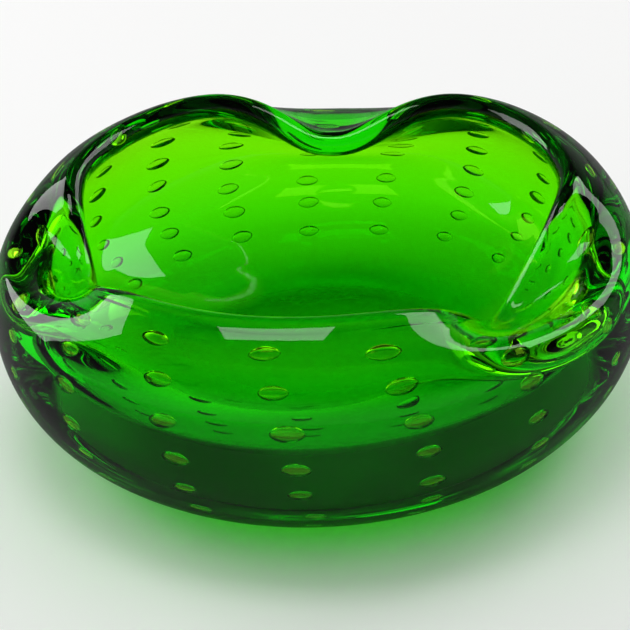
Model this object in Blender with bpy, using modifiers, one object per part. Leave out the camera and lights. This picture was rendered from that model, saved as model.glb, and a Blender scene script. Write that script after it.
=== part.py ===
"""Art glass bowl of cased green glass, with a lattice of air bubbles and a rim pinched at three places.

Metres, +Z up. The origin is the centre of the ground foot, on the surface that the bowl stands on. The bowl
is modelled in the order in which it is blown: a first gather is turned and its outside is pricked with a
lattice of pits, a second gather is cased over it so that each pit becomes a bubble, and the soft rim is
pressed in and down with a rod at three places.
"""

import math

import bmesh
import bpy
import numpy as np
from mathutils import Matrix

# Turned outline of the outside, before the rim is pinched
OUTER_RADIUS = 0.085
WIDEST_HEIGHT = 0.0365
FOOT_RADIUS = 0.0433
SHOULDER_RISE = 0.0298
SHOULDER_DRAW_IN = 0.023
LIP_ANGLE = math.radians(76)

# Turned outline of the inside: a ball-shaped dish, a round corner, and the wall at the inside's widest ring
BASE_THICKNESS = 0.013
DISH_BALL_RADIUS = 0.116
CORNER_RADIUS = 0.020
WALL_THICKNESS = 0.0144

# Lip, and the glass of the second gather, measured square to the outside
LIP_RADIUS = 0.0034
CASING_BASE = 0.0060
CASING_WALL = 0.0042
SEAM_CLEARANCE = 0.0003

# Pinches of the rim, each pressed by eye: its place, its push towards the axis and down, the height on the
# outside where it starts, and its half widths at the lip, clockwise and anticlockwise as seen from above
BACK_AZIMUTH = math.radians(93.5)
BACK_PUSH_IN = 0.0160
BACK_PUSH_DOWN = 0.0101
BACK_START_HEIGHT = 0.031
BACK_HALF_WIDTHS = (math.radians(18.6), math.radians(17.2))
LEFT_AZIMUTH = math.radians(199.6)
LEFT_PUSH_IN = 0.0057
LEFT_PUSH_DOWN = 0.0160
LEFT_START_HEIGHT = 0.044
LEFT_HALF_WIDTHS = (math.radians(13.5), math.radians(21.9))
RIGHT_AZIMUTH = math.radians(337.4)
RIGHT_PUSH_IN = 0.0120
RIGHT_PUSH_DOWN = 0.0239
RIGHT_START_HEIGHT = 0.044
RIGHT_HALF_WIDTHS = (math.radians(23.6), math.radians(13.5))
PINCHES = (
    (BACK_AZIMUTH, BACK_PUSH_IN, BACK_PUSH_DOWN, BACK_START_HEIGHT, BACK_HALF_WIDTHS),
    (LEFT_AZIMUTH, LEFT_PUSH_IN, LEFT_PUSH_DOWN, LEFT_START_HEIGHT, LEFT_HALF_WIDTHS),
    (RIGHT_AZIMUTH, RIGHT_PUSH_IN, RIGHT_PUSH_DOWN, RIGHT_START_HEIGHT, RIGHT_HALF_WIDTHS),
)
PINCH_START_SPREAD = math.radians(11.3)
PINCH_TIP_ROUNDING = math.radians(2.5)
PINCH_FALL_OFF = 1.85
PINCH_DEEPENING = 1.5

# Lattice of pits: rings counted down from the lip, columns round the axis
COLUMNS = 18
COLUMN_START = math.radians(279.5)
COLUMN_DRIFT = math.radians(5.5)
DRIFT_AZIMUTH = math.radians(40)
COLUMN_TWIST = math.radians(-7)
RINGS = 7
FIRST_RING_BELOW_LIP = 0.0075
RING_PITCH = 0.0104
PIT_HALF_WIDTH_AT_LIP = 0.0044
PIT_HALF_WIDTH_AT_FOOT = 0.0024
PIT_HALF_HEIGHT = 0.0016
PIT_DEPTH = 0.0015

# Facets
TURN_STEPS = 72
ARC_STEPS = 7
DISH_STEPS = 4
CORNER_STEPS = 4
SHOULDER_STEPS = 5
LIP_STEPS = 2
PIT_SIDES = 8
PIT_RINGS = 4

# The outline is walked by stations: 0 the axis, 1 the foot's edge, 2 the widest ring, 3 the lip's end
FOOT_EDGE = 1.0
WIDEST = 2.0
LIP_END = 3.0
WALL_STATIONS = np.linspace(FOOT_EDGE, LIP_END, 1201)
STATION_NUDGE = 1e-3
AZIMUTH_NUDGE = 1e-3


def skin_line(station):
    """Radius and height of the turned outside: a flat foot, a quarter ellipse up to the widest ring, and an
    elliptic arc that draws in to the lip."""
    lower = np.clip(station - FOOT_EDGE, 0, 1) * math.pi / 2
    upper = np.maximum(station - WIDEST, 0) * LIP_ANGLE
    radius = FOOT_RADIUS * np.clip(station, 0, 1)
    radius = radius + (OUTER_RADIUS - FOOT_RADIUS) * np.sin(lower)
    radius = radius - SHOULDER_DRAW_IN * (1 - np.cos(upper))
    height = WIDEST_HEIGHT * (1 - np.cos(lower)) + SHOULDER_RISE * np.sin(upper)
    return radius, height


def skin_frame(station):
    """Point, outward normal and upward tangent of the turned outside, as (radius, height) pairs."""
    point = np.stack(skin_line(station), -1)
    ahead = np.stack(skin_line(station + STATION_NUDGE), -1)
    behind = np.stack(skin_line(np.maximum(station - STATION_NUDGE, 0)), -1)
    tangent = ahead - behind
    tangent = tangent / np.linalg.norm(tangent, axis=-1, keepdims=True)
    normal = np.stack([tangent[..., 1], -tangent[..., 0]], -1)
    return point, normal, tangent


def ease(share):
    return share * share * (3 - 2 * share)


def seam_depth(station):
    """Depth of the casing's inner face under the outside. It eases from the base's value to the wall's, and
    on to the middle of the lip."""
    lower = ease(np.clip(station - FOOT_EDGE, 0, 1))
    upper = ease(np.clip(station - WIDEST, 0, 1))
    return CASING_BASE + (CASING_WALL - CASING_BASE) * lower + (LIP_RADIUS - CASING_WALL) * upper


def outline_stations():
    """Stations of the points along the outside and the seam, from the axis to the lip's end."""
    lower = np.linspace(FOOT_EDGE, WIDEST, ARC_STEPS + 1)
    upper = np.linspace(WIDEST, LIP_END, ARC_STEPS + 1)
    return np.concatenate([[0.0], lower, upper[1:]])


def line_at_depth(depth_of_station):
    """Points at a depth under the outside, from the axis up to the lip."""
    stations = outline_stations()
    point, normal, _ = skin_frame(stations)
    line = point - depth_of_station(stations)[:, None] * normal
    line[0, 0] = 0
    return line


def inside_line():
    """Points of the turned inside, from the axis up to the lip's inner edge. The dish is part of a ball. The
    corner is a smaller arc that leaves the ball without a kink and turns upright at the inside's widest ring.
    From there an elliptic arc draws in to the lip."""
    widest = OUTER_RADIUS - WALL_THICKNESS
    corner_axis = widest - CORNER_RADIUS
    meeting = math.asin(corner_axis / (DISH_BALL_RADIUS - CORNER_RADIUS))
    ball_height = BASE_THICKNESS + DISH_BALL_RADIUS
    corner_height = ball_height - (DISH_BALL_RADIUS - CORNER_RADIUS) * math.cos(meeting)
    lip_radius, lip_height = lip_arc(math.pi, math.pi)[0]
    draw_in = (widest - lip_radius) / (1 - math.cos(LIP_ANGLE))
    rise = (lip_height - corner_height) / math.sin(LIP_ANGLE)
    tilt = np.linspace(0, meeting, DISH_STEPS + 1)[:-1]
    dish = np.stack([DISH_BALL_RADIUS * np.sin(tilt), ball_height - DISH_BALL_RADIUS * np.cos(tilt)], -1)
    tilt = np.linspace(meeting, math.pi / 2, CORNER_STEPS + 1)[:-1]
    corner_radius = corner_axis + CORNER_RADIUS * np.sin(tilt)
    corner = np.stack([corner_radius, corner_height - CORNER_RADIUS * np.cos(tilt)], -1)
    angle = np.linspace(0, LIP_ANGLE, SHOULDER_STEPS + 1)
    shoulder = np.stack([widest - draw_in * (1 - np.cos(angle)), corner_height + rise * np.sin(angle)], -1)
    return np.concatenate([dish, corner, shoulder])


def lip_arc(start, end):
    """Points of the lip's half round between two angles, 0 at the outside and 180 degrees at the inside."""
    point, normal, tangent = skin_frame(np.array([LIP_END]))
    centre = point - LIP_RADIUS * normal
    angle = np.linspace(start, end, LIP_STEPS + 1)[:, None]
    return centre + LIP_RADIUS * (np.cos(angle) * normal + np.sin(angle) * tangent)


def turned(name, profile, collection):
    """A solid of revolution. The profile starts and ends on the axis and runs down its outer side."""
    mesh = bpy.data.meshes.new(name)
    points = [(radius, 0, height) for radius, height in profile]
    edges = [(index, index + 1) for index in range(len(points) - 1)]
    mesh.from_pydata(points, edges, [])
    obj = bpy.data.objects.new(name, mesh)
    collection.objects.link(obj)
    screw = obj.modifiers.new("turn", "SCREW")
    screw.angle = 2 * math.pi
    screw.steps = TURN_STEPS
    screw.render_steps = TURN_STEPS
    screw.use_merge_vertices = True
    screw.merge_threshold = 1e-5
    make_mesh(obj)
    return obj


def make_mesh(obj):
    """Replaces an object's mesh by its evaluated one."""
    graph = bpy.context.evaluated_depsgraph_get()
    mesh = bpy.data.meshes.new_from_object(obj.evaluated_get(graph))
    obj.modifiers.clear()
    obj.data = mesh


def pressed_skin(station, azimuth):
    """The outside after pinching. Each pinch moves a point in and down by its two pushes, times a bell across
    the pinch, which narrows and deepens from the pinch's start on the outside up to the lip."""
    radius, height = skin_line(station)
    for middle, push_in, push_down, start_height, half_widths in PINCHES:
        start = np.interp(start_height, skin_line(WALL_STATIONS)[1], WALL_STATIONS)
        climb = np.clip((station - start) / (LIP_END - start), 0, 1)
        depth = np.sin(math.pi / 2 * climb**PINCH_DEEPENING) ** 2
        across = (azimuth - middle + math.pi) % (2 * math.pi) - math.pi
        half_width = np.where(across < 0, *half_widths) + PINCH_START_SPREAD * (1 - climb)
        across = np.hypot(across, PINCH_TIP_ROUNDING) - PINCH_TIP_ROUNDING
        bell = np.exp(-((across / half_width) ** PINCH_FALL_OFF))
        radius = radius - push_in * depth * bell
        height = height - push_down * depth * bell
    return np.stack([radius * np.cos(azimuth), radius * np.sin(azimuth), height], -1)


def pressed_frame(station, azimuth):
    """Point, outward normal and upward tangent of the pinched outside."""
    up = pressed_skin(station + STATION_NUDGE, azimuth) - pressed_skin(station - STATION_NUDGE, azimuth)
    ahead = pressed_skin(station, azimuth + AZIMUTH_NUDGE)
    behind = pressed_skin(station, azimuth - AZIMUTH_NUDGE)
    tangent = up / np.linalg.norm(up, axis=-1, keepdims=True)
    normal = np.cross(ahead - behind, up)
    normal = normal / np.linalg.norm(normal, axis=-1, keepdims=True)
    return pressed_skin(station, azimuth), normal, tangent


def press(obj):
    """Pinches a turned solid. Every point keeps its depth under the outside, so the wall keeps its
    thickness."""
    points = np.empty(len(obj.data.vertices) * 3)
    obj.data.vertices.foreach_get("co", points)
    points = points.reshape(-1, 3)
    meridian = np.stack([np.hypot(points[:, 0], points[:, 1]), points[:, 2]], -1)
    azimuth = np.arctan2(points[:, 1], points[:, 0])
    line = np.stack(skin_line(WALL_STATIONS), -1)
    station = WALL_STATIONS[np.linalg.norm(meridian[:, None] - line[None], axis=-1).argmin(1)]
    point, normal, tangent = skin_frame(station)
    outward = ((meridian - point) * normal).sum(-1, keepdims=True)
    upward = ((meridian - point) * tangent).sum(-1, keepdims=True)
    new_point, new_normal, new_tangent = pressed_frame(station, azimuth)
    moved = new_point + outward * new_normal + upward * new_tangent
    on_wall = station > FOOT_EDGE
    points[on_wall] = moved[on_wall]
    obj.data.vertices.foreach_set("co", points.ravel())
    obj.data.update()


def split_quads(obj):
    """Splits each bent quad on its shorter diagonal, so that the two faces at the seam stay parallel."""
    shape = bmesh.new()
    shape.from_mesh(obj.data)
    bmesh.ops.triangulate(shape, faces=shape.faces, quad_method="SHORT_EDGE")
    shape.to_mesh(obj.data)
    shape.free()


def pit_cutter(collection):
    """Flattened balls on the gather's outer face, one for each pit of the lattice, lying along the rings."""
    point, normal, _ = skin_frame(WALL_STATIONS)
    face = point - (seam_depth(WALL_STATIONS) + SEAM_CLEARANCE)[:, None] * normal
    walked = np.concatenate([[0], np.cumsum(np.linalg.norm(np.diff(face, axis=0), axis=1))])
    shape = bmesh.new()
    for ring in range(RINGS):
        below_lip = FIRST_RING_BELOW_LIP + ring * RING_PITCH
        station = np.interp(walked[-1] - below_lip, walked, WALL_STATIONS)
        share_up = 1 - ring / (RINGS - 1)
        half_width = PIT_HALF_WIDTH_AT_FOOT + (PIT_HALF_WIDTH_AT_LIP - PIT_HALF_WIDTH_AT_FOOT) * share_up
        for column in range(COLUMNS):
            even = COLUMN_START + column * 2 * math.pi / COLUMNS
            azimuth = even + COLUMN_DRIFT * math.cos(even - DRIFT_AZIMUTH) + COLUMN_TWIST * share_up**2
            skin, outward, upward = pressed_frame(station, azimuth)
            centre = skin - (seam_depth(station) + SEAM_CLEARANCE) * outward
            sideways = np.cross(upward, outward)
            axes = np.stack([sideways * half_width, upward * PIT_HALF_HEIGHT, outward * PIT_DEPTH], -1)
            place = Matrix.Translation(centre) @ Matrix(axes.tolist()).to_4x4()
            bmesh.ops.create_uvsphere(
                shape, u_segments=PIT_SIDES, v_segments=PIT_RINGS, radius=1, matrix=place
            )
    bmesh.ops.recalc_face_normals(shape, faces=shape.faces)
    mesh = bpy.data.meshes.new("pit_cutter")
    shape.to_mesh(mesh)
    shape.free()
    cutter = bpy.data.objects.new("pit_cutter", mesh)
    cutter.hide_render = True
    cutter.display_type = "WIRE"
    collection.objects.link(cutter)
    return cutter


def green_glass(name, colour, roughness):
    material = bpy.data.materials.new(name)
    material.use_nodes = True
    shader = material.node_tree.nodes["Principled BSDF"]
    shader.inputs["Base Color"].default_value = (*colour, 1)
    shader.inputs["Roughness"].default_value = roughness
    shader.inputs["Metallic"].default_value = 0
    shader.inputs["IOR"].default_value = 1.5
    shader.inputs["Transmission Weight"].default_value = 1
    material.diffuse_color = (*colour, 1)
    return material


def make_inner_gather(collection, cutters):
    """First gather: the bowl's inside, the inner half of the lip, and the pitted face under the casing."""
    seam_angle = math.pi / 2 + math.asin(SEAM_CLEARANCE / LIP_RADIUS)
    inside = inside_line()
    lip = lip_arc(math.pi, seam_angle)
    outside = line_at_depth(lambda station: seam_depth(station) + SEAM_CLEARANCE)
    gather = turned("inner_gather", np.concatenate([inside, lip[1:], outside[::-1]]), collection)
    press(gather)
    split_quads(gather)
    pits = gather.modifiers.new("pits", "BOOLEAN")
    pits.object = pit_cutter(cutters)
    pits.operation = "DIFFERENCE"
    gather.data.shade_smooth()
    gather.data.materials.append(green_glass("gather_glass", (0.10, 0.62, 0.02), 0.02))


def make_outer_casing(collection):
    """Second gather: the bowl's outside, the outer half of the lip and the ground foot."""
    inside = line_at_depth(seam_depth)
    lip = lip_arc(math.pi / 2, 0)
    outside = line_at_depth(lambda station: 0 * station)
    casing = turned("outer_casing", np.concatenate([inside, lip, outside[-2::-1]]), collection)
    press(casing)
    split_quads(casing)
    casing.data.shade_smooth()
    casing.data.materials.append(green_glass("casing_glass", (0.05, 0.50, 0.03), 0.03))


def make_collection(name):
    collection = bpy.data.collections.new(name)
    bpy.context.scene.collection.children.link(collection)
    return collection


def main():
    for obj in list(bpy.data.objects):
        bpy.data.objects.remove(obj)
    bowl = make_collection("art_glass_bowl")
    cutters = make_collection("cutters")
    make_outer_casing(bowl)
    make_inner_gather(bowl, cutters)


main()
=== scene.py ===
"""Looks of the art glass bowl: one mass of green glass with trapped bubbles, on a pale floor in studio light.

The file is laid out as an add-on. Its operators blow the glass with its bubbles and set the stage, and the
panel in the sidebar lists them. Lengths are metres, angles radians, and +Z is up.
"""

import math

import bpy
import numpy as np
from mathutils import Matrix, Vector


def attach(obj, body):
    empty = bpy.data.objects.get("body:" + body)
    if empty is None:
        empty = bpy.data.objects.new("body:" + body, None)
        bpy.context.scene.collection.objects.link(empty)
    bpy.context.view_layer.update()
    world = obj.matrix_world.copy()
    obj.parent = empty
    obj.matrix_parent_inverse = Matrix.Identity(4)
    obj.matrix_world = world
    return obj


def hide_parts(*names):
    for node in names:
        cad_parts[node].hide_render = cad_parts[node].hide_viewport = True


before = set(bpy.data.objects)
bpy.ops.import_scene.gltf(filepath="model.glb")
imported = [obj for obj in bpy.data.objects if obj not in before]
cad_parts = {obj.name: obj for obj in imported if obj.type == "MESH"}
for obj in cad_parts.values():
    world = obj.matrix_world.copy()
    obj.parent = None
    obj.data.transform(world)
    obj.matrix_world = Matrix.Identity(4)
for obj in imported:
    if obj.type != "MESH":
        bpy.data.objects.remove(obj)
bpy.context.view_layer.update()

bl_info = {
    "name": "Bubbled Glass Bowl",
    "version": (1, 0, 0),
    "blender": (4, 5, 0),
    "location": "View3D > Sidebar > Glass Bowl",
    "description": "Blows a glass bowl with a pinched rim and trapped bubbles, and sets it on a studio floor",
    "category": "Add Mesh",
}

# Stations along the outside: 0 the axis, 1 the foot's edge, 2 the widest ring, 3 the lip's end
FOOT_EDGE = 1.0
WIDEST = 2.0
LIP_END = 3.0
WALL_STATIONS = np.linspace(FOOT_EDGE, LIP_END, 1201)
NUDGE = 1e-3
TINY = 1e-9
HALVINGS = 40

# Points of the glass along its section and round its axis, and of each bubble along and round its length
FOOT_ROWS = 10
LOWER_ROWS = 49
UPPER_ROWS = 57
LIP_ROWS = 25
TURN_COLUMNS = 288
BUBBLE_ROWS = 10
BUBBLE_SIDES = 12

# Sines of the elevations between which the levels of the room change
SKY_FROM = 0.35
SKY_TO = 0.80
BACKGROUND_FROM = 0.05
BACKGROUND_TO = 0.40

FLOOR_SIDES = 96
FLOOR_ROUGHNESS = 0.9
FLOOR_SPECULAR = 0.1
SENSOR_WIDTH_MM = 36
CLIP_START = 0.01

# Back, left and right pinch: azimuth, push in, push down, start height, and the two half widths
PINCHES = (
    (math.radians(93.5), 0.0160, 0.0101, 0.031, math.radians(18.6), math.radians(17.2)),
    (math.radians(199.6), 0.0057, 0.0160, 0.044, math.radians(13.5), math.radians(21.9)),
    (math.radians(337.4), 0.0120, 0.0239, 0.044, math.radians(23.6), math.radians(13.5)),
)

# Soft boxes: name, place, aim, width, height and power in watts
SOFTBOXES = (
    ("softbox_top", (-0.11, -0.06, 1.0), (-0.11, -0.06, 0), 0.46, 0.28, 1.4),
    ("softbox_left", (-0.84, 0.31, 0.43), (0, 0, 0.03), 0.60, 0.56, 3.0),
    ("softbox_right", (0.537, 0.576, 0.616), (0, 0, 0.03), 0.45, 0.45, 1.7),
)


class PinchShape(bpy.types.PropertyGroup):
    """One place where the soft rim is pressed in and down with a rod."""

    azimuth: bpy.props.FloatProperty(
        name="Azimuth", description="Direction of the pinch round the axis", default=0, subtype="ANGLE"
    )
    push_in: bpy.props.FloatProperty(
        name="Push In", description="How far the lip moves towards the axis", default=0.01, unit="LENGTH"
    )
    push_down: bpy.props.FloatProperty(
        name="Push Down", description="How far the lip moves down", default=0.01, unit="LENGTH"
    )
    start_height: bpy.props.FloatProperty(
        name="Start Height", description="Height on the outside where it begins", default=0.044, unit="LENGTH"
    )
    half_width_clockwise: bpy.props.FloatProperty(
        name="Clockwise", description="Half width at the lip on that side", default=0.3, subtype="ANGLE"
    )
    half_width_anticlockwise: bpy.props.FloatProperty(
        name="Anticlockwise", description="Half width on the other side", default=0.3, subtype="ANGLE"
    )


class BowlShape(bpy.types.PropertyGroup):
    """Outside, inside, lip and pinches of the bowl."""

    outer_radius: bpy.props.FloatProperty(
        name="Outer Radius", description="Radius of the widest ring", default=0.085, unit="LENGTH"
    )
    widest_height: bpy.props.FloatProperty(
        name="Widest Height", description="Height of the widest ring", default=0.0365, unit="LENGTH"
    )
    foot_radius: bpy.props.FloatProperty(
        name="Foot Radius", description="Radius of the ground flat", default=0.0433, unit="LENGTH"
    )
    shoulder_rise: bpy.props.FloatProperty(
        name="Shoulder Rise", description="Height of the shoulder's ellipse", default=0.0298, unit="LENGTH"
    )
    shoulder_draw_in: bpy.props.FloatProperty(
        name="Shoulder Draw In", description="Depth of the shoulder's ellipse", default=0.023, unit="LENGTH"
    )
    lip_angle: bpy.props.FloatProperty(
        name="Lip Angle", description="Where the shoulder's arc ends",
        default=math.radians(76), subtype="ANGLE"
    )
    base: bpy.props.FloatProperty(
        name="Base", description="Glass under the middle of the bowl", default=0.013, unit="LENGTH"
    )
    dish_ball_radius: bpy.props.FloatProperty(
        name="Dish Radius", description="Radius of the ball that is the dish", default=0.116, unit="LENGTH"
    )
    corner_radius: bpy.props.FloatProperty(
        name="Corner Radius", description="Turn from the dish to the wall", default=0.020, unit="LENGTH"
    )
    wall: bpy.props.FloatProperty(
        name="Wall", description="Glass at the inside's widest ring", default=0.0144, unit="LENGTH"
    )
    lip_radius: bpy.props.FloatProperty(
        name="Lip Radius", description="Half the glass at the lip", default=0.0034, unit="LENGTH"
    )
    pinch_start_spread: bpy.props.FloatProperty(
        name="Start Spread", description="Extra half width where a pinch begins",
        default=math.radians(11.3), subtype="ANGLE"
    )
    pinch_tip_rounding: bpy.props.FloatProperty(
        name="Tip Rounding", description="Roundness of a pinch's middle",
        default=math.radians(2.5), subtype="ANGLE"
    )
    pinch_fall_off: bpy.props.FloatProperty(
        name="Fall Off", description="How squarely a pinch falls off sideways", default=1.85
    )
    pinch_deepening: bpy.props.FloatProperty(
        name="Deepening", description="How late a pinch deepens on the way up", default=1.5
    )
    waviness: bpy.props.FloatProperty(
        name="Waviness", description="Height of the hand-worked waves", default=0.00010, unit="LENGTH"
    )
    pinches: bpy.props.CollectionProperty(type=PinchShape)


class BubbleShape(bpy.types.PropertyGroup):
    """Lattice of the trapped bubbles."""

    columns: bpy.props.IntProperty(name="Columns", description="Bubbles round the axis", default=18)
    rings: bpy.props.IntProperty(name="Rings", description="Bubbles from the lip to the foot", default=7)
    column_start: bpy.props.FloatProperty(
        name="First Column", description="Direction of the first column",
        default=math.radians(279.5), subtype="ANGLE"
    )
    drift: bpy.props.FloatProperty(
        name="Drift", description="How unevenly the columns are spaced",
        default=math.radians(5.5), subtype="ANGLE"
    )
    drift_azimuth: bpy.props.FloatProperty(
        name="Drift Azimuth", description="Where the columns crowd most",
        default=math.radians(40), subtype="ANGLE"
    )
    twist: bpy.props.FloatProperty(
        name="Twist", description="Lean of the columns at the lip", default=math.radians(-7), subtype="ANGLE"
    )
    first_below_lip: bpy.props.FloatProperty(
        name="First Below Lip", description="From the lip to the first ring", default=0.0075, unit="LENGTH"
    )
    pitch: bpy.props.FloatProperty(
        name="Ring Pitch", description="From ring to ring along the wall", default=0.0104, unit="LENGTH"
    )
    half_width_at_lip: bpy.props.FloatProperty(
        name="Half Width At Lip", description="Half width of the top bubbles", default=0.0043, unit="LENGTH"
    )
    half_width_at_foot: bpy.props.FloatProperty(
        name="Half Width At Foot", description="Half width of the low bubbles", default=0.0031, unit="LENGTH"
    )
    half_height: bpy.props.FloatProperty(
        name="Half Height", description="Half height of a bubble", default=0.0019, unit="LENGTH"
    )
    half_depth: bpy.props.FloatProperty(
        name="Half Depth", description="Half depth of a bubble into the wall", default=0.00065, unit="LENGTH"
    )
    taper: bpy.props.FloatProperty(
        name="Taper", description="How soon a bubble narrows to its two ends", default=1.2
    )
    seam_depth: bpy.props.FloatProperty(
        name="Seam Depth", description="Depth of the top bubbles in the glass", default=0.0042, unit="LENGTH"
    )
    deeper_at_foot: bpy.props.FloatProperty(
        name="Deeper At Foot", description="Extra depth of the low bubbles", default=0.0018, unit="LENGTH"
    )
    smallest: bpy.props.FloatProperty(
        name="Smallest", description="Size of the smallest bubbles", default=0.86
    )
    largest: bpy.props.FloatProperty(name="Largest", description="Size of the largest bubbles", default=1.1)
    stray_along: bpy.props.FloatProperty(
        name="Stray Along", description="How far they stray along the wall", default=0.0005, unit="LENGTH"
    )
    stray_deep: bpy.props.FloatProperty(
        name="Stray Deep", description="How far they stray in depth", default=0.0002, unit="LENGTH"
    )
    stray_round: bpy.props.FloatProperty(
        name="Stray Round", description="How far they stray round the axis", default=0.008, subtype="ANGLE"
    )
    stray_tilt: bpy.props.FloatProperty(
        name="Stray Tilt", description="How far they tilt", default=0.05, subtype="ANGLE"
    )
    seed: bpy.props.IntProperty(name="Seed", description="Choice of the strays", default=11)


class GlassFinish(bpy.types.PropertyGroup):
    """Colour and polish of the glass."""

    tint: bpy.props.FloatVectorProperty(
        name="Tint", description="Light that the glass lets through", size=3, subtype="COLOR",
        default=(0.745, 0.985, 0.0)
    )
    density: bpy.props.FloatProperty(name="Density", description="Absorption per metre", default=480)
    index: bpy.props.FloatProperty(name="Index", description="Refractive index", default=1.5)
    foot_roughness: bpy.props.FloatProperty(
        name="Foot Roughness", description="Roughness of the ground foot", default=0.35, subtype="FACTOR"
    )
    ground_height: bpy.props.FloatProperty(
        name="Ground Height", description="Up to here the foot is ground", default=0.0001, unit="LENGTH"
    )
    polish_height: bpy.props.FloatProperty(
        name="Polish Height", description="Height where the polish is full", default=0.0004, unit="LENGTH"
    )


class SoftBox(bpy.types.PropertyGroup):
    """One soft box of the studio."""

    place: bpy.props.FloatVectorProperty(
        name="Place", description="Where it hangs", size=3, subtype="XYZ", unit="LENGTH"
    )
    aim: bpy.props.FloatVectorProperty(
        name="Aim", description="Point that it faces", size=3, subtype="XYZ", unit="LENGTH"
    )
    width: bpy.props.FloatProperty(name="Width", description="Its width", default=0.5, unit="LENGTH")
    height: bpy.props.FloatProperty(name="Height", description="Its height", default=0.5, unit="LENGTH")
    power: bpy.props.FloatProperty(name="Power", description="Its power", default=2, unit="POWER")


class StudioStage(bpy.types.PropertyGroup):
    """Floor, light and camera. Levels of the room are radiances, and 1 is white."""

    floor_colour: bpy.props.FloatVectorProperty(
        name="Floor", description="Colour of the floor", size=3, subtype="COLOR", default=(0.93, 0.93, 0.925)
    )
    floor_mirrored: bpy.props.FloatProperty(
        name="Floor Mirrored", description="Share of the floor that mirrors in the glass", default=0.2
    )
    floor_radius: bpy.props.FloatProperty(
        name="Floor Radius", description="Size of the floor", default=4, unit="LENGTH"
    )
    floor_drop: bpy.props.FloatProperty(
        name="Floor Drop", description="Gap between the floor and the foot", default=0.0003, unit="LENGTH"
    )
    sky_level: bpy.props.FloatProperty(
        name="Sky", description="Level overhead that lights the floor", default=0.93
    )
    horizon_level: bpy.props.FloatProperty(
        name="Horizon", description="Level at the horizon that lights the floor", default=0.05
    )
    seen_low: bpy.props.FloatProperty(
        name="Seen Low", description="Level at the horizon, seen through the glass", default=0.7
    )
    seen_high: bpy.props.FloatProperty(
        name="Seen High", description="Level overhead, seen through the glass", default=0.05
    )
    mirrored_low: bpy.props.FloatProperty(
        name="Mirrored Low", description="Level at the horizon, mirrored in the glass", default=0.2
    )
    mirrored_high: bpy.props.FloatProperty(
        name="Mirrored High", description="Level overhead, mirrored in the glass", default=0.02
    )
    softboxes: bpy.props.CollectionProperty(type=SoftBox)
    aim: bpy.props.FloatVectorProperty(
        name="Aim", description="Point that the camera looks at", size=3, subtype="XYZ",
        default=(-0.0014, -0.0003, 0.0269)
    )
    distance: bpy.props.FloatProperty(
        name="Distance", description="From the camera to its aim", default=0.6041, unit="LENGTH"
    )
    azimuth: bpy.props.FloatProperty(
        name="Azimuth", description="Where the camera stands", default=math.radians(10.61), subtype="ANGLE"
    )
    elevation: bpy.props.FloatProperty(
        name="Elevation", description="How far it looks down", default=math.radians(30.7), subtype="ANGLE"
    )
    roll: bpy.props.FloatProperty(
        name="Roll", description="Turn of the picture", default=math.radians(-3.62), subtype="ANGLE"
    )
    lens: bpy.props.FloatProperty(name="Lens", description="Focal length in millimetres", default=130.27)


def ease(share):
    """A share from 0 to 1 that starts and ends level."""
    return share * share * (3 - 2 * share)


def unit(vectors):
    """Vectors of length 1 in the same directions."""
    return vectors / np.linalg.norm(vectors, axis=-1, keepdims=True)


def turned_line(shape, station):
    """Radius and height of the turned outside: a flat foot, a quarter ellipse up to the widest ring, and an
    elliptic arc that draws in to the lip."""
    lower = np.clip(station - FOOT_EDGE, 0, 1) * math.pi / 2
    upper = np.maximum(station - WIDEST, 0) * shape.lip_angle
    radius = shape.foot_radius * np.clip(station, 0, 1)
    radius = radius + (shape.outer_radius - shape.foot_radius) * np.sin(lower)
    radius = radius - shape.shoulder_draw_in * (1 - np.cos(upper))
    height = shape.widest_height * (1 - np.cos(lower)) + shape.shoulder_rise * np.sin(upper)
    return radius, height


def pressed_line(shape, station, azimuth):
    """The turned line after pinching: each pinch moves a point in and down by its pushes, times a bell across
    the pinch, which narrows and deepens from its start up to the lip."""
    radius, height = turned_line(shape, station)
    wall_heights = turned_line(shape, WALL_STATIONS)[1]
    for pinch in shape.pinches:
        start = np.interp(pinch.start_height, wall_heights, WALL_STATIONS)
        climb = np.clip((station - start) / (LIP_END - start), 0, 1)
        depth = np.sin(math.pi / 2 * climb**shape.pinch_deepening) ** 2
        across = (azimuth - pinch.azimuth + math.pi) % (2 * math.pi) - math.pi
        half_width = np.where(across < 0, pinch.half_width_clockwise, pinch.half_width_anticlockwise)
        half_width = half_width + shape.pinch_start_spread * (1 - climb)
        across = np.hypot(across, shape.pinch_tip_rounding) - shape.pinch_tip_rounding
        bell = np.exp(-((across / half_width) ** shape.pinch_fall_off))
        radius = radius - pinch.push_in * depth * bell
        height = height - pinch.push_down * depth * bell
    return radius, height


def to_world(azimuth, outward, sideways, height):
    """Turns parts along the radius, round the axis and up into X, Y and Z."""
    cosine, sine = np.cos(azimuth), np.sin(azimuth)
    east, north = outward * cosine - sideways * sine, outward * sine + sideways * cosine
    return np.stack(np.broadcast_arrays(east, north, height), -1)


def pressed_frame(shape, station, azimuth):
    """Point, outward normal and upward tangent of the pinched outside. The normal is the cross product of the
    two slopes, divided by the radius so that it holds at the axis."""
    radius, height = pressed_line(shape, station, azimuth)
    above = pressed_line(shape, station + NUDGE, azimuth)
    below = pressed_line(shape, station - NUDGE, azimuth)
    ahead = pressed_line(shape, station, azimuth + NUDGE)
    behind = pressed_line(shape, station, azimuth - NUDGE)
    radius_up, height_up = above[0] - below[0], above[1] - below[1]
    radius_round, height_round = ahead[0] - behind[0], ahead[1] - behind[1]
    slant = (height_round * radius_up - radius_round * height_up) / np.maximum(2 * NUDGE * radius, TINY)
    normal = unit(to_world(azimuth, height_up, slant, -radius_up))
    tangent = unit(to_world(azimuth, radius_up, 0 * radius_up, height_up))
    return to_world(azimuth, radius, 0 * radius, height), normal, tangent


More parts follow.
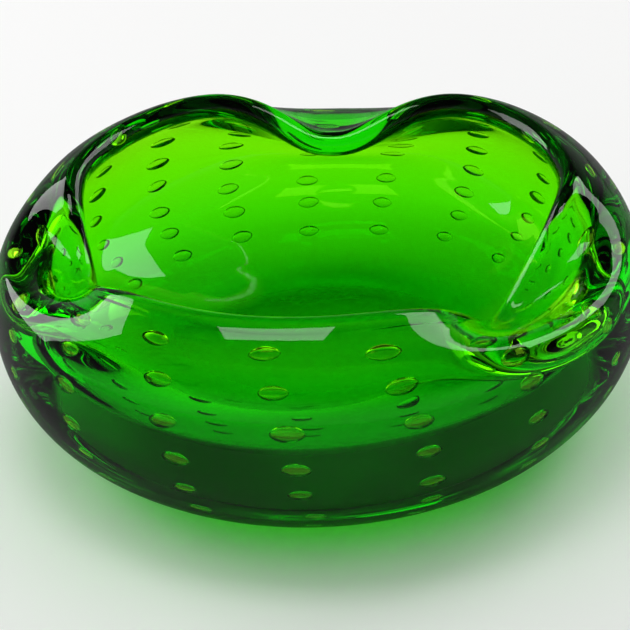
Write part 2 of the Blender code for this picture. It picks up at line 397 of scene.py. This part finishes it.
def lip_inner_edge(shape):
    """Radius and height of the lip's inner edge, one lip's thickness under the outside's end."""
    radius, height = turned_line(shape, LIP_END)
    outward = shape.shoulder_rise * math.cos(shape.lip_angle)
    upward = shape.shoulder_draw_in * math.sin(shape.lip_angle)
    share = 2 * shape.lip_radius / math.hypot(outward, upward)
    return radius - share * outward, height - share * upward


def bore_radius(shape, height):
    """Radius of the inside at a height: a dish that is part of a ball, a round corner that leaves it without
    a kink and turns upright at the inside's widest ring, and an ellipse from there to the lip's inner
    edge."""
    widest = shape.outer_radius - shape.wall
    corner_axis = widest - shape.corner_radius
    reach = shape.dish_ball_radius - shape.corner_radius
    meeting = math.asin(corner_axis / reach)
    ball_height = shape.base + shape.dish_ball_radius
    corner_height = ball_height - shape.dish_ball_radius * math.cos(meeting)
    widest_height = ball_height - reach * math.cos(meeting)
    end_radius, end_height = lip_inner_edge(shape)
    rise = (end_height - widest_height) / math.sin(shape.lip_angle)
    draw_in = (widest - end_radius) / (1 - math.cos(shape.lip_angle))
    dish = np.sqrt(np.maximum(shape.dish_ball_radius**2 - (ball_height - height) ** 2, 0))
    drop = np.clip((widest_height - height) / shape.corner_radius, 0, 1)
    corner = corner_axis + shape.corner_radius * np.sqrt(1 - drop**2)
    climb = np.clip((height - widest_height) / rise, 0, 1)
    shoulder = widest - draw_in * (1 - np.sqrt(1 - climb**2))
    return np.where(height < corner_height, dish, np.where(height < widest_height, corner, shoulder))


def bore_depth(shape, station):
    """Depth of the inside under the turned outside, found by halving along the outside's normal."""
    radius, height = turned_line(shape, station)
    above, below = turned_line(shape, station + NUDGE), turned_line(shape, station - NUDGE)
    along, up = above[0] - below[0], above[1] - below[1]
    length = np.hypot(along, up)
    outward, upward = up / length, -along / length
    low, high = 0 * radius, 0 * radius + shape.widest_height
    for step in range(HALVINGS):
        middle = (low + high) / 2
        inside = radius - middle * outward < bore_radius(shape, height - middle * upward)
        low, high = np.where(inside, low, middle), np.where(inside, middle, high)
    return low


def waves(station, azimuth, phase):
    """Long low waves left by the hand work: a sum of three sines, each running round the axis and along the
    wall at its own rates, in shares of one."""
    first = np.sin(3 * azimuth + 2.1 * station + phase)
    second = np.sin(5 * azimuth - 3.7 * station + 2.3 * phase)
    third = np.sin(8 * azimuth + 6.1 * station - 1.7 * phase)
    return 0.5 * first + 0.3 * second + 0.2 * third


def glass_rows(shape):
    """The section from the middle of the foot, over the lip, to the middle of the inside: for each row its
    station, its depth under the outside, its rise past the lip's end and its share of the waves, which fade
    at the foot and the lip and count as negative on the inside."""
    foot = np.linspace(0, FOOT_EDGE, FOOT_ROWS)
    lower = np.linspace(FOOT_EDGE, WIDEST, LOWER_ROWS)
    upper = np.linspace(WIDEST, LIP_END, UPPER_ROWS)
    wall = np.concatenate([foot, lower[1:], upper[1:]])
    angle = np.linspace(0, math.pi, LIP_ROWS)[1:-1]
    station = np.concatenate([wall, np.full(len(angle), LIP_END), wall[::-1]])
    inside_depth = bore_depth(shape, np.minimum(wall[::-1], LIP_END - NUDGE))
    depth = np.concatenate([0 * wall, shape.lip_radius * (1 - np.cos(angle)), inside_depth])
    rise = np.concatenate([0 * wall, shape.lip_radius * np.sin(angle), 0 * wall])
    body = ease(np.clip((wall - FOOT_EDGE) * 3, 0, 1)) * ease(np.clip((LIP_END - wall) * 3, 0, 1))
    share = np.concatenate([body, 0 * angle, -body[::-1]])
    return station, depth, rise, share


def glass_surface(shape):
    """Points and faces of the glass: every row of the section is carried round the axis, and each point keeps
    its depth under the pinched outside, so that the wall keeps its thickness through the folds."""
    station, depth, rise, share = (row[:, None] for row in glass_rows(shape))
    azimuth = np.linspace(0, 2 * math.pi, TURN_COLUMNS, endpoint=False)[None, :]
    point, normal, tangent = pressed_frame(shape, station, azimuth)
    phase = np.where(share < 0, 1.9, 0.4)
    wave = shape.waviness * np.abs(share) * waves(station, azimuth, phase)
    points = point + (wave - depth)[..., None] * normal + rise[..., None] * tangent
    rows = len(points)
    points = np.concatenate([points[0, :1], points[1:-1].reshape(-1, 3), points[-1, :1]])
    row, column = np.meshgrid(np.arange(rows - 3), np.arange(TURN_COLUMNS), indexing="ij")
    here = 1 + row * TURN_COLUMNS + column
    beside = 1 + row * TURN_COLUMNS + (column + 1) % TURN_COLUMNS
    quads = np.stack([here, beside, beside + TURN_COLUMNS, here + TURN_COLUMNS], -1).reshape(-1, 4)
    turn = np.arange(TURN_COLUMNS)
    following = (turn + 1) % TURN_COLUMNS
    last = len(points) - 1
    top = last - TURN_COLUMNS
    foot_fan = np.stack([0 * turn, 1 + following, 1 + turn], -1)
    inside_fan = np.stack([0 * turn + last, top + turn, top + following], -1)
    return points, [quads, foot_fan, inside_fan]


def bubble_surfaces(shape, lattice):
    """Points and faces of all bubbles. Each is a flat spindle that lies along its ring: its section is an
    ellipse whose size falls from the middle to the two ends as a power of the sine. The faces point into the
    bubble."""
    generator = np.random.default_rng(lattice.seed)
    radius, height = turned_line(shape, WALL_STATIONS)
    walked = np.concatenate([[0], np.cumsum(np.hypot(np.diff(radius), np.diff(height)))])
    grid = np.meshgrid(np.arange(lattice.rings), np.arange(lattice.columns), indexing="ij")
    ring, column = (index.ravel() for index in grid)
    count = len(ring)
    share_up = 1 - ring / (lattice.rings - 1)
    below_lip = lattice.first_below_lip + ring * lattice.pitch
    below_lip = below_lip + generator.normal(0, lattice.stray_along, count)
    station = np.interp(walked[-1] - below_lip, walked, WALL_STATIONS)
    even = lattice.column_start + column * 2 * math.pi / lattice.columns
    azimuth = even + lattice.drift * np.cos(even - lattice.drift_azimuth) + lattice.twist * share_up**2
    azimuth = azimuth + generator.normal(0, lattice.stray_round, count)
    skin, outward, upward = pressed_frame(shape, station, azimuth)
    depth = lattice.seam_depth + lattice.deeper_at_foot * (1 - share_up) ** 2
    depth = depth + generator.normal(0, lattice.stray_deep, count)
    centre = skin - depth[:, None] * outward
    level = np.cross(upward, outward)
    tilt = generator.normal(0, lattice.stray_tilt, count)[:, None]
    sideways = level * np.cos(tilt) + upward * np.sin(tilt)
    upward = upward * np.cos(tilt) - level * np.sin(tilt)
    size = generator.uniform(lattice.smallest, lattice.largest, count)[:, None]
    widening = (lattice.half_width_at_lip - lattice.half_width_at_foot) * share_up
    half_width = (lattice.half_width_at_foot + widening)[:, None]
    angle = np.linspace(0, math.pi, BUBBLE_ROWS + 1)[1:-1, None]
    turn = np.linspace(0, 2 * math.pi, BUBBLE_SIDES, endpoint=False)[None, :]
    section = np.sin(angle) ** lattice.taper
    parts = np.broadcast_arrays(-np.cos(angle), section * np.cos(turn), section * np.sin(turn))
    spindle = np.concatenate([[[-1, 0, 0]], np.stack(parts, -1).reshape(-1, 3), [[1, 0, 0]]])
    axes = np.stack([sideways * half_width, upward * lattice.half_height, outward * lattice.half_depth], 1)
    points = centre[:, None, :] + np.einsum("pa,bac->bpc", spindle, axes * size[..., None])
    row, step = np.meshgrid(np.arange(BUBBLE_ROWS - 2), np.arange(BUBBLE_SIDES), indexing="ij")
    here = 1 + row * BUBBLE_SIDES + step
    beside = 1 + row * BUBBLE_SIDES + (step + 1) % BUBBLE_SIDES
    quads = np.stack([here, here + BUBBLE_SIDES, beside + BUBBLE_SIDES, beside], -1).reshape(-1, 4)
    step = np.arange(BUBBLE_SIDES)
    following = (step + 1) % BUBBLE_SIDES
    last = len(spindle) - 1
    near = np.stack([0 * step, 1 + step, 1 + following], -1)
    far = np.stack([0 * step + last, last - BUBBLE_SIDES + following, last - BUBBLE_SIDES + step], -1)
    shift = (np.arange(count) * len(spindle))[:, None, None]
    faces = [(shift + part[None]).reshape(-1, part.shape[1]) for part in (quads, near, far)]
    return points.reshape(-1, 3), faces


def mesh_from(name, points, face_groups):
    """A smooth mesh from an array of points and arrays of quads and triangles."""
    mesh = bpy.data.meshes.new(name)
    faces = [face for group in face_groups for face in group.tolist()]
    mesh.from_pydata(points.tolist(), [], faces)
    mesh.shade_smooth()
    mesh.validate()
    return mesh


def glass_material(finish):
    """Clear polished glass that is coloured by its depth alone. The foot is ground, so it is rough."""
    material = bpy.data.materials.new("bubbled_green_glass")
    material.use_nodes = True
    nodes, links = material.node_tree.nodes, material.node_tree.links
    shader = nodes["Principled BSDF"]
    shader.inputs["Base Color"].default_value = (1, 1, 1, 1)
    shader.inputs["IOR"].default_value = finish.index
    shader.inputs["Transmission Weight"].default_value = 1
    place = nodes.new("ShaderNodeTexCoord")
    parts = nodes.new("ShaderNodeSeparateXYZ")
    foot = nodes.new("ShaderNodeMapRange")
    foot.inputs["From Min"].default_value = finish.ground_height
    foot.inputs["From Max"].default_value = finish.polish_height
    foot.inputs["To Min"].default_value = finish.foot_roughness
    foot.inputs["To Max"].default_value = 0
    links.new(place.outputs["Object"], parts.inputs[0])
    links.new(parts.outputs["Z"], foot.inputs["Value"])
    links.new(foot.outputs["Result"], shader.inputs["Roughness"])
    inside = nodes.new("ShaderNodeVolumeAbsorption")
    inside.inputs["Color"].default_value = (*finish.tint, 1)
    inside.inputs["Density"].default_value = finish.density
    links.new(inside.outputs[0], nodes["Material Output"].inputs["Volume"])
    return material


class BOWL_OT_blow_glass(bpy.types.Operator):
    """Blow the bowl, press its rim and trap the lattice of bubbles in its wall"""

    bl_idname = "bowl.blow_glass"
    bl_label = "Blow Glass"

    def execute(self, context):
        shape = context.scene.bowl_shape
        if not shape.pinches:
            raise RuntimeError("The bowl's shape has no pinches")
        points, faces = glass_surface(shape)
        bubbles, bubble_faces = bubble_surfaces(shape, context.scene.bowl_bubbles)
        faces += [part + len(points) for part in bubble_faces]
        mesh = mesh_from("glass_bowl", np.concatenate([points, bubbles]), faces)
        mesh.materials.append(glass_material(context.scene.bowl_finish))
        bowl = bpy.data.objects.new("glass_bowl", mesh)
        context.scene.collection.objects.link(bowl)
        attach(bowl, "root")
        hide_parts("inner_gather", "outer_casing")
        return {"FINISHED"}


def floor_material(stage):
    """A pale floor that shows only in part where it is mirrored. A refracted ray counts as both glossy and
    transmitted, so the mirrored ones are the glossy less the transmitted."""
    material = bpy.data.materials.new("pale_floor")
    material.use_nodes = True
    nodes, links = material.node_tree.nodes, material.node_tree.links
    shader = nodes["Principled BSDF"]
    shader.inputs["Roughness"].default_value = FLOOR_ROUGHNESS
    shader.inputs["Specular IOR Level"].default_value = FLOOR_SPECULAR
    path = nodes.new("ShaderNodeLightPath")
    mirrored = nodes.new("ShaderNodeMath")
    mirrored.operation = "SUBTRACT"
    mirrored.use_clamp = True
    links.new(path.outputs["Is Glossy Ray"], mirrored.inputs[0])
    links.new(path.outputs["Is Transmission Ray"], mirrored.inputs[1])
    mix = nodes.new("ShaderNodeMix")
    mix.data_type = "RGBA"
    mix.inputs["A"].default_value = (*stage.floor_colour, 1)
    mix.inputs["B"].default_value = (*[part * stage.floor_mirrored for part in stage.floor_colour], 1)
    links.new(mirrored.outputs[0], mix.inputs["Factor"])
    links.new(mix.outputs["Result"], shader.inputs["Base Color"])
    return material


def add_floor(stage):
    """A round flat floor, a hair under the foot so that the two faces don't touch."""
    turn = np.linspace(0, 2 * math.pi, FLOOR_SIDES, endpoint=False)
    rim = np.stack([stage.floor_radius * np.cos(turn), stage.floor_radius * np.sin(turn), 0 * turn], -1)
    rim[:, 2] = -stage.floor_drop
    mesh = bpy.data.meshes.new("floor")
    mesh.from_pydata(rim.tolist(), [], [list(range(len(turn)))])
    mesh.materials.append(floor_material(stage))
    floor = bpy.data.objects.new("floor", mesh)
    bpy.context.scene.collection.objects.link(floor)


def add_softbox(softbox):
    """A rectangular lamp that faces its aim."""
    lamp = bpy.data.lights.new(softbox.name, "AREA")
    lamp.shape = "RECTANGLE"
    lamp.size = softbox.width
    lamp.size_y = softbox.height
    lamp.energy = softbox.power
    obj = bpy.data.objects.new(softbox.name, lamp)
    obj.location = softbox.place
    obj.rotation_euler = (Vector(softbox.aim) - Vector(softbox.place)).to_track_quat("-Z", "Y").to_euler()
    bpy.context.scene.collection.objects.link(obj)


def add_world(stage):
    """White to the camera. What lights the floor, also through the glass, is a sky that brightens upwards.
    What the camera sees mirrored in the glass or through it is a pale background under a dark room."""
    world = bpy.data.worlds.new("studio")
    bpy.context.scene.world = world
    world.use_nodes = True
    nodes, links = world.node_tree.nodes, world.node_tree.links
    path = nodes.new("ShaderNodeLightPath")
    place = nodes.new("ShaderNodeTexCoord")
    parts = nodes.new("ShaderNodeSeparateXYZ")
    links.new(place.outputs["Object"], parts.inputs[0])
    before_floor = nodes.new("ShaderNodeMath")
    before_floor.operation = "LESS_THAN"
    before_floor.inputs[1].default_value = 0.5
    links.new(path.outputs["Diffuse Depth"], before_floor.inputs[0])

    def level_by_height(low, high, low_level, high_level):
        node = nodes.new("ShaderNodeMapRange")
        node.inputs["From Min"].default_value = low
        node.inputs["From Max"].default_value = high
        node.inputs["To Min"].default_value = low_level
        node.inputs["To Max"].default_value = high_level
        links.new(parts.outputs["Z"], node.inputs["Value"])
        return node.outputs["Result"]

    def choose(share, otherwise, level):
        mix = nodes.new("ShaderNodeMix")
        links.new(share, mix.inputs["Factor"])
        links.new(otherwise, mix.inputs["A"])
        links.new(level, mix.inputs["B"])
        return mix.outputs["Result"]

    sky = level_by_height(SKY_FROM, SKY_TO, stage.horizon_level, stage.sky_level)
    mirrored = level_by_height(BACKGROUND_FROM, BACKGROUND_TO, stage.mirrored_low, stage.mirrored_high)
    seen = level_by_height(BACKGROUND_FROM, BACKGROUND_TO, stage.seen_low, stage.seen_high)
    white = nodes.new("ShaderNodeValue")
    white.outputs[0].default_value = 1
    level = sky
    for ray, ray_level in (("Is Glossy Ray", mirrored), ("Is Transmission Ray", seen)):
        share = nodes.new("ShaderNodeMath")
        share.operation = "MULTIPLY"
        links.new(path.outputs[ray], share.inputs[0])
        links.new(before_floor.outputs[0], share.inputs[1])
        level = choose(share.outputs[0], level, ray_level)
    level = choose(path.outputs["Is Camera Ray"], level, white.outputs[0])
    background = nodes["Background"]
    background.inputs["Color"].default_value = (1, 1, 1, 1)
    links.new(level, background.inputs["Strength"])


def add_camera(stage):
    """A camera that stands off from its aim, with the picture rolled about the line of sight."""
    data = bpy.data.cameras.new("camera")
    data.sensor_width = SENSOR_WIDTH_MM
    data.lens = stage.lens
    data.clip_start = CLIP_START
    camera = bpy.data.objects.new("camera", data)
    bpy.context.scene.collection.objects.link(camera)
    level = math.cos(stage.elevation)
    east, north = math.sin(stage.azimuth) * level, -math.cos(stage.azimuth) * level
    away = Vector((east, north, math.sin(stage.elevation)))
    right = Vector((math.cos(stage.azimuth), math.sin(stage.azimuth), 0))
    right = Matrix.Rotation(stage.roll, 3, away) @ right
    axes = Matrix((right, away.cross(right), away)).transposed()
    camera.matrix_world = Matrix.Translation(Vector(stage.aim) + away * stage.distance) @ axes.to_4x4()
    bpy.context.scene.camera = camera


class BOWL_OT_set_stage(bpy.types.Operator):
    """Lay the floor, hang the soft boxes and place the camera"""

    bl_idname = "bowl.set_stage"
    bl_label = "Set Stage"

    def execute(self, context):
        stage = context.scene.bowl_stage
        if not stage.softboxes:
            raise RuntimeError("The stage has no soft boxes")
        add_floor(stage)
        for softbox in stage.softboxes:
            add_softbox(softbox)
        add_world(stage)
        add_camera(stage)
        context.scene.view_settings.view_transform = "Standard"
        return {"FINISHED"}


class BOWL_PT_panel(bpy.types.Panel):
    """The bowl's operators"""

    bl_idname = "BOWL_PT_panel"
    bl_label = "Glass Bowl"
    bl_space_type = "VIEW_3D"
    bl_region_type = "UI"
    bl_category = "Glass Bowl"

    def draw(self, context):
        for operator in (BOWL_OT_blow_glass, BOWL_OT_set_stage):
            self.layout.operator(operator.bl_idname)


CLASSES = (
    PinchShape, BowlShape, BubbleShape, GlassFinish, SoftBox, StudioStage,
    BOWL_OT_blow_glass, BOWL_OT_set_stage, BOWL_PT_panel,
)


def register():
    for item in CLASSES:
        bpy.utils.register_class(item)
    bpy.types.Scene.bowl_shape = bpy.props.PointerProperty(type=BowlShape)
    bpy.types.Scene.bowl_bubbles = bpy.props.PointerProperty(type=BubbleShape)
    bpy.types.Scene.bowl_finish = bpy.props.PointerProperty(type=GlassFinish)
    bpy.types.Scene.bowl_stage = bpy.props.PointerProperty(type=StudioStage)


def unregister():
    for name in ("bowl_shape", "bowl_bubbles", "bowl_finish", "bowl_stage"):
        delattr(bpy.types.Scene, name)
    for item in reversed(CLASSES):
        bpy.utils.unregister_class(item)


def fill_in(scene):
    """Enters the three pinches and the soft boxes, which are lists and so have no defaults."""
    for azimuth, push_in, push_down, start_height, clockwise, anticlockwise in PINCHES:
        pinch = scene.bowl_shape.pinches.add()
        pinch.azimuth = azimuth
        pinch.push_in = push_in
        pinch.push_down = push_down
        pinch.start_height = start_height
        pinch.half_width_clockwise = clockwise
        pinch.half_width_anticlockwise = anticlockwise
    for name, place, aim, width, height, power in SOFTBOXES:
        softbox = scene.bowl_stage.softboxes.add()
        softbox.name = name
        softbox.place = place
        softbox.aim = aim
        softbox.width = width
        softbox.height = height
        softbox.power = power


def main():
    register()
    fill_in(bpy.context.scene)
    bpy.ops.bowl.blow_glass()
    bpy.ops.bowl.set_stage()


if __name__ == "__main__":
    main()
